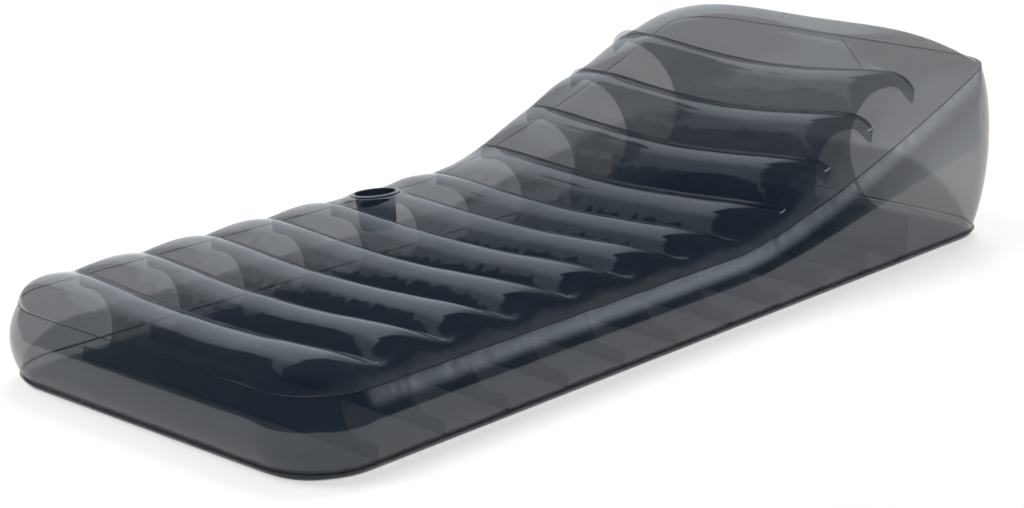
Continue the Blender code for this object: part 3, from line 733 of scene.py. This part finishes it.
def make_weld_marks():
    """The pressed band along each groove, small scars at some weld ends and the joint of the side wall."""
    bands, scars = [], []
    for index, y in enumerate(GROOVES):
        tip = float(tip_at(np.array([y]))[0])
        across = np.linspace(-tip, tip, BAND_STEPS + 1)
        taper = np.sqrt(np.clip((tip - np.abs(across)) / BAND_TAPER, 0.01, 1.0))
        edges = []
        for shift in (-WELD_BAND / 2, WELD_BAND / 2):
            place = y + shift * taper
            edges.append(list(zip(across, place, deck_surface(across, place) + BAND_LIFT)))
        bands.append(edges)
        for end in ((tip,), (tip,), (), (tip, -tip))[index % 4]:
            line = y + np.linspace(-SCAR_BACK, SCAR_AHEAD, 5)
            pair = []
            for shift in (0.0, SCAR_WIDTH):
                place = np.full_like(line, end * SCAR_PLACE + shift)
                pair.append(list(zip(place, line, deck_surface(place, line) + SCAR_LIFT)))
            scars.append(pair)
    ribbon("groove_weld_bands", bands, WELD_FILM)
    ribbon("weld_end_scars", scars, SCAR_FILM)
    share = np.linspace(*JOINT_SHARES, 16)
    out = HEAD_Y + 4.0 * share * (1.0 - share) * HEAD_WALL_BULGE - JOINT_SINK
    rise = BOTTOM_SEAM_HEIGHT + share * (HEAD_SEAM_HEIGHT - BOTTOM_SEAM_HEIGHT)
    lean = JOINT_LEAN * (1.0 - progress(share, *JOINT_SHARES))
    joint = []
    for shift in (-JOINT_WIDTH / 2, JOINT_WIDTH / 2):
        joint.append([(x + shift, y, z) for x, y, z in zip(lean, out, rise)])
    ribbon("side_wall_joint", [joint], WELD_FILM)


# Turned pieces

def turned(name, profile, matrix):
    """A surface turned about the local Z axis from a profile of (radius, height)."""
    turns = np.linspace(0.0, math.tau, TURN_STEPS + 1)
    points = np.array([[matrix @ Vector((r * math.cos(t), r * math.sin(t), z)) for r, z in profile]
                       for t in turns])
    item = grid_object(name, points)
    body = bmesh.new()
    body.from_mesh(item.data)
    bmesh.ops.remove_doubles(body, verts=body.verts, dist=MERGE)
    bmesh.ops.recalc_face_normals(body, faces=body.faces)
    body.to_mesh(item.data)
    body.free()
    item.data.shade_smooth()
    return item


RIM_LIP = 0.0012
RIM_CREST = 0.0001
RIM_EDGE = 0.0008
FLOOR_DISH = 0.002


def make_cup():
    """The pocket's rim, wall and floor, turned about its leaning axis."""
    seat = Matrix.Translation((CUP_X, CUP_Y, CUP_Z + GAP / 2 + FILM / 2))
    seat = seat @ Matrix.Rotation(-CUP_TILT, 4, "Y")
    rest = FILM / 2 + GAP
    top = rest + CUP_RIM_THICKNESS
    edge = CUP_RADIUS + CUP_RIM_WIDTH
    rim = [(CUP_RADIUS, rest)]
    rim += arc(CUP_RADIUS + RIM_LIP, rest + RIM_LIP, RIM_LIP, math.pi, math.pi / 2, 5)
    rim += [(CUP_RADIUS + CUP_RIM_WIDTH * 0.5, top + RIM_CREST)]
    rim += arc(edge - RIM_EDGE, rest + RIM_EDGE / 4, RIM_EDGE, math.pi / 2, -0.2, 5)
    rim += [(CUP_RADIUS, rest)]
    settle(turned("cup_rim_ring", rim, seat), RIM_VINYL, "cup_film", "mat", "cup_rim")
    foot = CUP_FOOT_ROUND - CUP_DEPTH
    wall = [(CUP_RADIUS - GAP + (CUP_FOOT_RADIUS - CUP_RADIUS + GAP) * t, top + (foot - top) * t)
            for t in np.linspace(0.0, 1.0, 14)]
    # The cup's wall and floor carry the near-black film: painted shade of the pocket over its own tint
    settle(turned("cup_wall_film", wall, seat), CUP_FILM_AND_SHADE, "cup_film", "mat", "cup_wall")
    centre = CUP_FOOT_RADIUS - CUP_FOOT_ROUND
    floor = arc(centre, foot - GAP, CUP_FOOT_ROUND, 0.0, -math.pi / 2, 8)
    floor += [(centre * t, foot - GAP - CUP_FOOT_ROUND + FLOOR_DISH * (1 - t) * (1 - t))
              for t in (0.8, 0.55, 0.3, 0.0)]
    settle(turned("cup_floor_film", floor, seat), CUP_FILM_AND_SHADE, "cup_film", "mat", "cup_floor")


make_top_sheet()
make_bottom_sheet()
make_side_wall()
for number, place_y in enumerate(GROOVES, start=1):
    make_beam(number, place_y)
make_seams()
make_weld_marks()
make_cup()
for node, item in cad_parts.items():
    if node.startswith("valve"):
        item.data.materials.clear()
        item.data.materials.append(VALVE_VINYL)


# Floor, light and camera

FLOOR_LEFT, FLOOR_RIGHT = -12.0, 0.95
FLOOR_FRONT, FLOOR_BACK = -1.5, 12.0


def make_floor():
    """A dull white floor; the white world takes over beyond its front and right edges."""
    mesh = bpy.data.meshes.new("floor")
    corners = [(FLOOR_LEFT, FLOOR_FRONT, 0), (FLOOR_RIGHT, FLOOR_FRONT, 0),
               (FLOOR_RIGHT, FLOOR_BACK, 0), (FLOOR_LEFT, FLOOR_BACK, 0)]
    mesh.from_pydata(corners, [], [(0, 1, 2, 3)])
    floor = bpy.data.objects.new("floor", mesh)
    bpy.context.scene.collection.objects.link(floor)
    material, nodes, _ = new_material("studio_floor")
    shader = nodes["Principled BSDF"]
    shader.inputs["Base Color"].default_value = (0.9, 0.9, 0.9, 1.0)
    shader.inputs["Roughness"].default_value = 1.0
    shader.inputs["Specular IOR Level"].default_value = 0.0
    mesh.materials.append(material)


# The picture's directions along the ground, and the planes that bound the reflected white wall
BACK = Vector((-0.6390, 0.7147, 0.0)).normalized()
RIGHT = Vector((0.7147, 0.6390, 0.0)).normalized()
BACKDROP_LEAN = (0.734, 0.416, 0.536)
BACKDROP_TOP = (0.745, 0.137, 0.653)
LEAN_START = math.sin(math.radians(-4.6))
LEAN_END = math.sin(math.radians(-3.4))
PANEL_STRENGTH = 2.6
FAR_FADE = 0.48
ROOM_DARK = 0.02
ROOM_LIGHT = 0.08


def make_world():
    """Studio surround: plain soft light, and for reflections a white wall low behind the mat."""
    world = bpy.data.worlds.new("studio")
    bpy.context.scene.world = world
    world.use_nodes = True
    nodes, links = world.node_tree.nodes, world.node_tree.links
    nodes.clear()
    place = add(nodes, "ShaderNodeTexCoord")
    split = add(nodes, "ShaderNodeSeparateXYZ")
    links.new(place.outputs["Generated"], split.inputs[0])

    def math_node(kind, a, b):
        node = add(nodes, "ShaderNodeMath", operation=kind)
        for socket, value in zip(node.inputs, (a, b)):
            if isinstance(value, (int, float)):
                socket.default_value = value
            else:
                links.new(value, socket)
        return node.outputs[0]

    def step(value, low, high):
        node = add(nodes, "ShaderNodeMapRange", interpolation_type="SMOOTHSTEP")
        node.inputs["From Min"].default_value = low
        node.inputs["From Max"].default_value = high
        links.new(value, node.inputs["Value"])
        return node.outputs["Result"]

    x, y, z = split.outputs

    def plane(a, b, c):
        flat = math_node("ADD", math_node("MULTIPLY", x, a), math_node("MULTIPLY", y, b))
        return math_node("ADD", flat, math_node("MULTIPLY", z, c)) if c else flat

    def turned_past(low, high):
        """Eased step as the direction turns to the right of straight behind, in degrees."""
        return step(turn, math.radians(low), math.radians(high))

    def invert(value):
        return math_node("SUBTRACT", 1.0, value)

    def product(*values):
        total = values[0]
        for value in values[1:]:
            total = math_node("MULTIPLY", total, value)
        return total

    behind = plane(BACK.x, BACK.y, 0.0)
    turn = math_node("ARCTAN2", plane(RIGHT.x, RIGHT.y, 0.0), behind)
    leaning = step(plane(*BACKDROP_LEAN), LEAN_START, LEAN_END)
    left = math_node("MAXIMUM", turned_past(-24.5, -22.5), product(leaning, turned_past(-85.0, -75.0)))
    fade = math_node("ADD", product(turned_past(-28.0, -13.0), 1.0 - FAR_FADE), FAR_FADE)
    top = plane(*BACKDROP_TOP)
    over = product(step(top, 0.036, 0.054), turned_past(-15.0, -12.0))
    over = math_node("MAXIMUM", over, step(top, 0.075, 0.125))
    backdrop = product(left, invert(turned_past(-4.0, 17.0)), invert(over), fade)
    panel = product(step(z, 0.04, 0.27), invert(step(z, 0.27, 0.56)), turned_past(55.0, 72.0))
    panel = product(panel, invert(turned_past(82.0, 96.0)), PANEL_STRENGTH)
    low_back = product(invert(step(z, -0.01, 0.0)), step(behind, 0.1, 0.3))
    bright = math_node("MAXIMUM", backdrop, math_node("MAXIMUM", low_back, panel))
    room = math_node("ADD", product(step(behind, -0.2, 0.4), ROOM_LIGHT), ROOM_DARK)
    shine = math_node("MAXIMUM", bright, room)

    def background(colour, strength):
        node = add(nodes, "ShaderNodeBackground")
        node.inputs["Color"].default_value = (*colour, 1.0)
        node.inputs["Strength"].default_value = strength
        return node

    rays = add(nodes, "ShaderNodeLightPath")
    dull = background((1.0, 1.0, 1.0), 0.2)
    base = background((1.0, 1.0, 1.0), 1.0)
    glint = background((0.90, 1.0, 1.10), 1.0)
    links.new(shine, glint.inputs["Strength"])
    soft = add(nodes, "ShaderNodeMixShader")
    links.new(rays.outputs["Is Diffuse Ray"], soft.inputs[0])
    links.new(glint.outputs[0], soft.inputs[1])
    links.new(dull.outputs[0], soft.inputs[2])
    mix = add(nodes, "ShaderNodeMixShader")
    seen = math_node("MAXIMUM", rays.outputs["Is Camera Ray"], rays.outputs["Is Transmission Ray"])
    links.new(seen, mix.inputs[0])
    links.new(soft.outputs[0], mix.inputs[1])
    links.new(base.outputs[0], mix.inputs[2])
    out = add(nodes, "ShaderNodeOutputWorld")
    links.new(mix.outputs[0], out.inputs["Surface"])


def make_light(name, toward, strength, spread):
    """A soft light from far away, in the direction toward, that the glossy film doesn't mirror."""
    data = bpy.data.lights.new(name, "SUN")
    data.energy = strength
    data.angle = math.radians(spread)
    light = bpy.data.objects.new(name, data)
    bpy.context.scene.collection.objects.link(light)
    light.rotation_euler = Vector(toward).to_track_quat("Z", "Y").to_euler()
    light.visible_glossy = False


def make_camera():
    """The photo's camera, as its fit to the picture gives it; its place is in seam widths."""
    data = bpy.data.cameras.new("camera")
    data.lens = 82.27
    data.sensor_width = 36.0
    camera = bpy.data.objects.new("camera", data)
    bpy.context.scene.collection.objects.link(camera)
    right = Vector((0.7455, 0.6665, 0.0)).normalized()
    back = Vector((0.6390, -0.7147, 0.2845)).normalized()
    up = back.cross(right).normalized()
    rotation = Matrix((right, up, back)).transposed().to_4x4()
    place = (right * -0.075 + up * 0.103 + back * 5.620) * SEAM_WIDTH
    place.y += MIDDLE_Y
    camera.matrix_world = Matrix.Translation(place) @ rotation
    bpy.context.scene.camera = camera


make_floor()
make_world()
make_light("key_light", toward=(1.17, -1.22, 1.0), strength=3.8, spread=3)
make_light("side_light", toward=(-0.62, -0.62, 1.0), strength=0.85, spread=34)
make_light("back_light", toward=(-0.30, 0.60, 1.0), strength=0.95, spread=34)
make_camera()
scene = bpy.context.scene
scene.view_settings.view_transform = "Standard"
scene.cycles.transparent_max_bounces = 48
